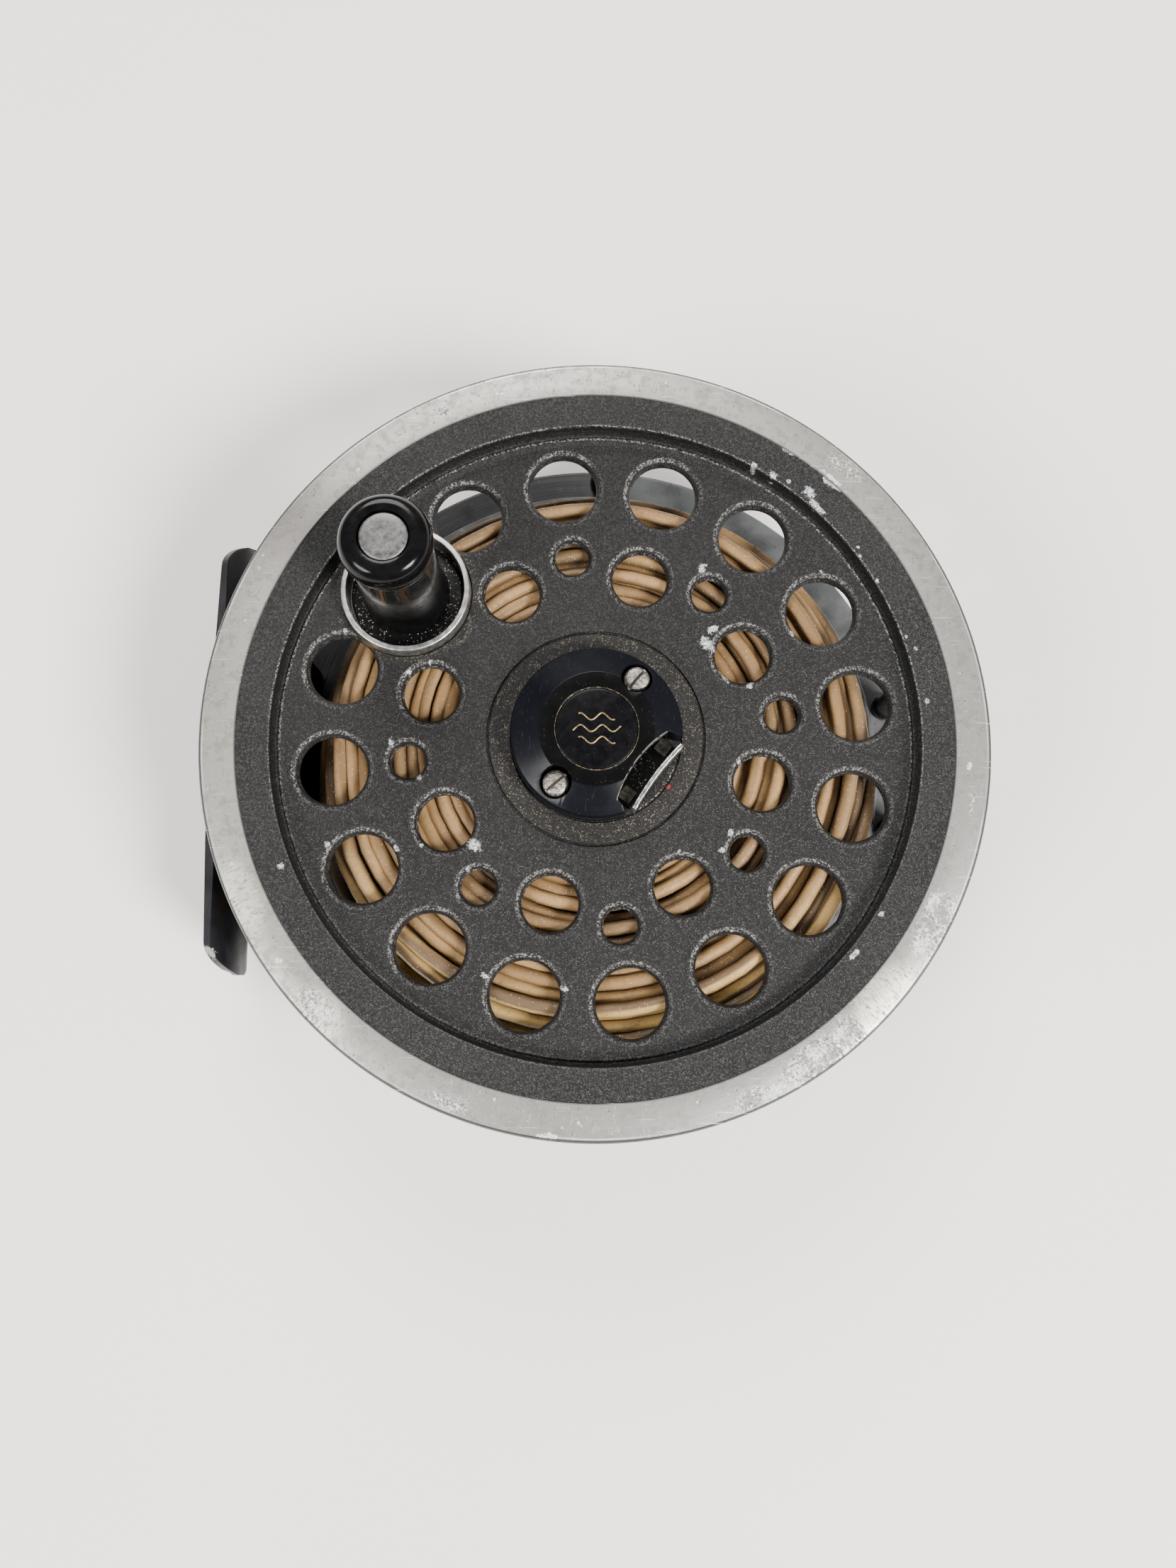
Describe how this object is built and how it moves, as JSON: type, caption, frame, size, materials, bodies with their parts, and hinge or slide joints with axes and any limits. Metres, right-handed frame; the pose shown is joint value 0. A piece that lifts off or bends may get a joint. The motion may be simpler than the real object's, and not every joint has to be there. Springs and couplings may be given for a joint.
{
  "type": "fly reel",
  "caption": "Fly reel lying on its back: pierced grey spool with a bare metal palming rim, black handle, thumb latch, click gear, wound line and a curved reel foot.",
  "frame": {"origin": "on the spindle axis at the rear plane the reel lies on, the flat back of the rear boss", "axes": "+Z along the spindle from the rear plate to the handle side, -X towards the reel foot, Y along the foot (the rod's axis)"},
  "size_m": [0.0994, 0.098, 0.049],
  "materials": {
    "black_enamel": "gloss black enamel, chipped at the foot's end",
    "grey_satin": "satin grey anodising",
    "wrinkle_grey": "charcoal wrinkle paint, worn at the hole edges",
    "bare_rim": "bare, satin, pitted and corroded in places",
    "steel": "dull bright steel",
    "brass": "turned brass",
    "black_plastic": "polished black",
    "badge_black": "black disc with a thin gold line",
    "line_tan": "coated fly line, tan"
  },
  "bodies": {
    "frame": {"back_plate": "black_enamel", "front_ring": "black_enamel", "pillar_1": "black_enamel", "pillar_2": "black_enamel", "pillar_3": "black_enamel", "pillar_4": "black_enamel", "pillar_screw_1": "steel", "pillar_screw_2": "steel", "pillar_screw_3": "steel", "pillar_screw_4": "steel", "foot_block": "black_enamel", "reel_foot": "black_enamel", "foot_screw_1": "steel", "foot_screw_2": "steel", "spindle": "steel", "rear_boss": "steel", "pawl_post": "steel", "spring_post": "steel", "click_spring": "steel"},
    "spool_carrier": {"thrust_washer": "brass"},
    "spool": {"spool_rim": "bare_rim", "spool_front_flange": "wrinkle_grey", "spool_rear_flange": "grey_satin", "spool_drum": "grey_satin", "spindle_bush": "brass", "ratchet_gear": "brass", "fly_line": "line_tan", "handle_ring": "bare_rim", "handle_seat": "black_plastic", "handle_pin": "steel", "hub_cap": "black_enamel", "hub_badge": "badge_black", "hub_screw_1": "steel", "hub_screw_2": "steel", "latch_spring": "steel"},
    "latch": {"latch_plate": "steel"},
    "handle": {"handle_knob": "black_plastic"},
    "pawl": {"click_pawl": "steel"},
    "regulator": {"drag_knob": "black_plastic"}
  },
  "joints": [
    {"name": "spool_lift", "type": "slide", "parent": "frame", "child": "spool_carrier", "axis": [0, 0, 1], "range_m": [0, 0.045]},
    {"name": "spool_spin", "type": "hinge", "parent": "spool_carrier", "child": "spool", "pos_m": [0, 0, 0.0164], "axis": [0, 0, 1], "continuous": true},
    {"name": "handle_turn", "type": "hinge", "parent": "spool", "child": "handle", "pos_m": [-0.02396, 0.01855, 0.0377], "axis": [0, 0, 1], "continuous": true},
    {"name": "latch_press", "type": "slide", "parent": "spool", "child": "latch", "axis": [-0.7986, 0.6018, 0], "range_m": [0, 0.0016], "stiffness_N_per_m": 400, "springref_m": -0.002, "deforming": ["latch_spring"]},
    {"name": "pawl_lift", "type": "hinge", "parent": "frame", "child": "pawl", "pos_m": [-0.009, -0.012, 0.0047], "axis": [0, 0, -1], "range_deg": [0, 12], "stiffness_Nm_per_rad": 0.02, "springref_deg": -11.46, "deforming": ["click_spring"]},
    {"name": "regulator_turn", "type": "hinge", "parent": "frame", "child": "regulator", "pos_m": [0.0175, -0.0215, 0.0027], "axis": [0, 0, -1], "range_deg": [0, 270]}
  ]
}
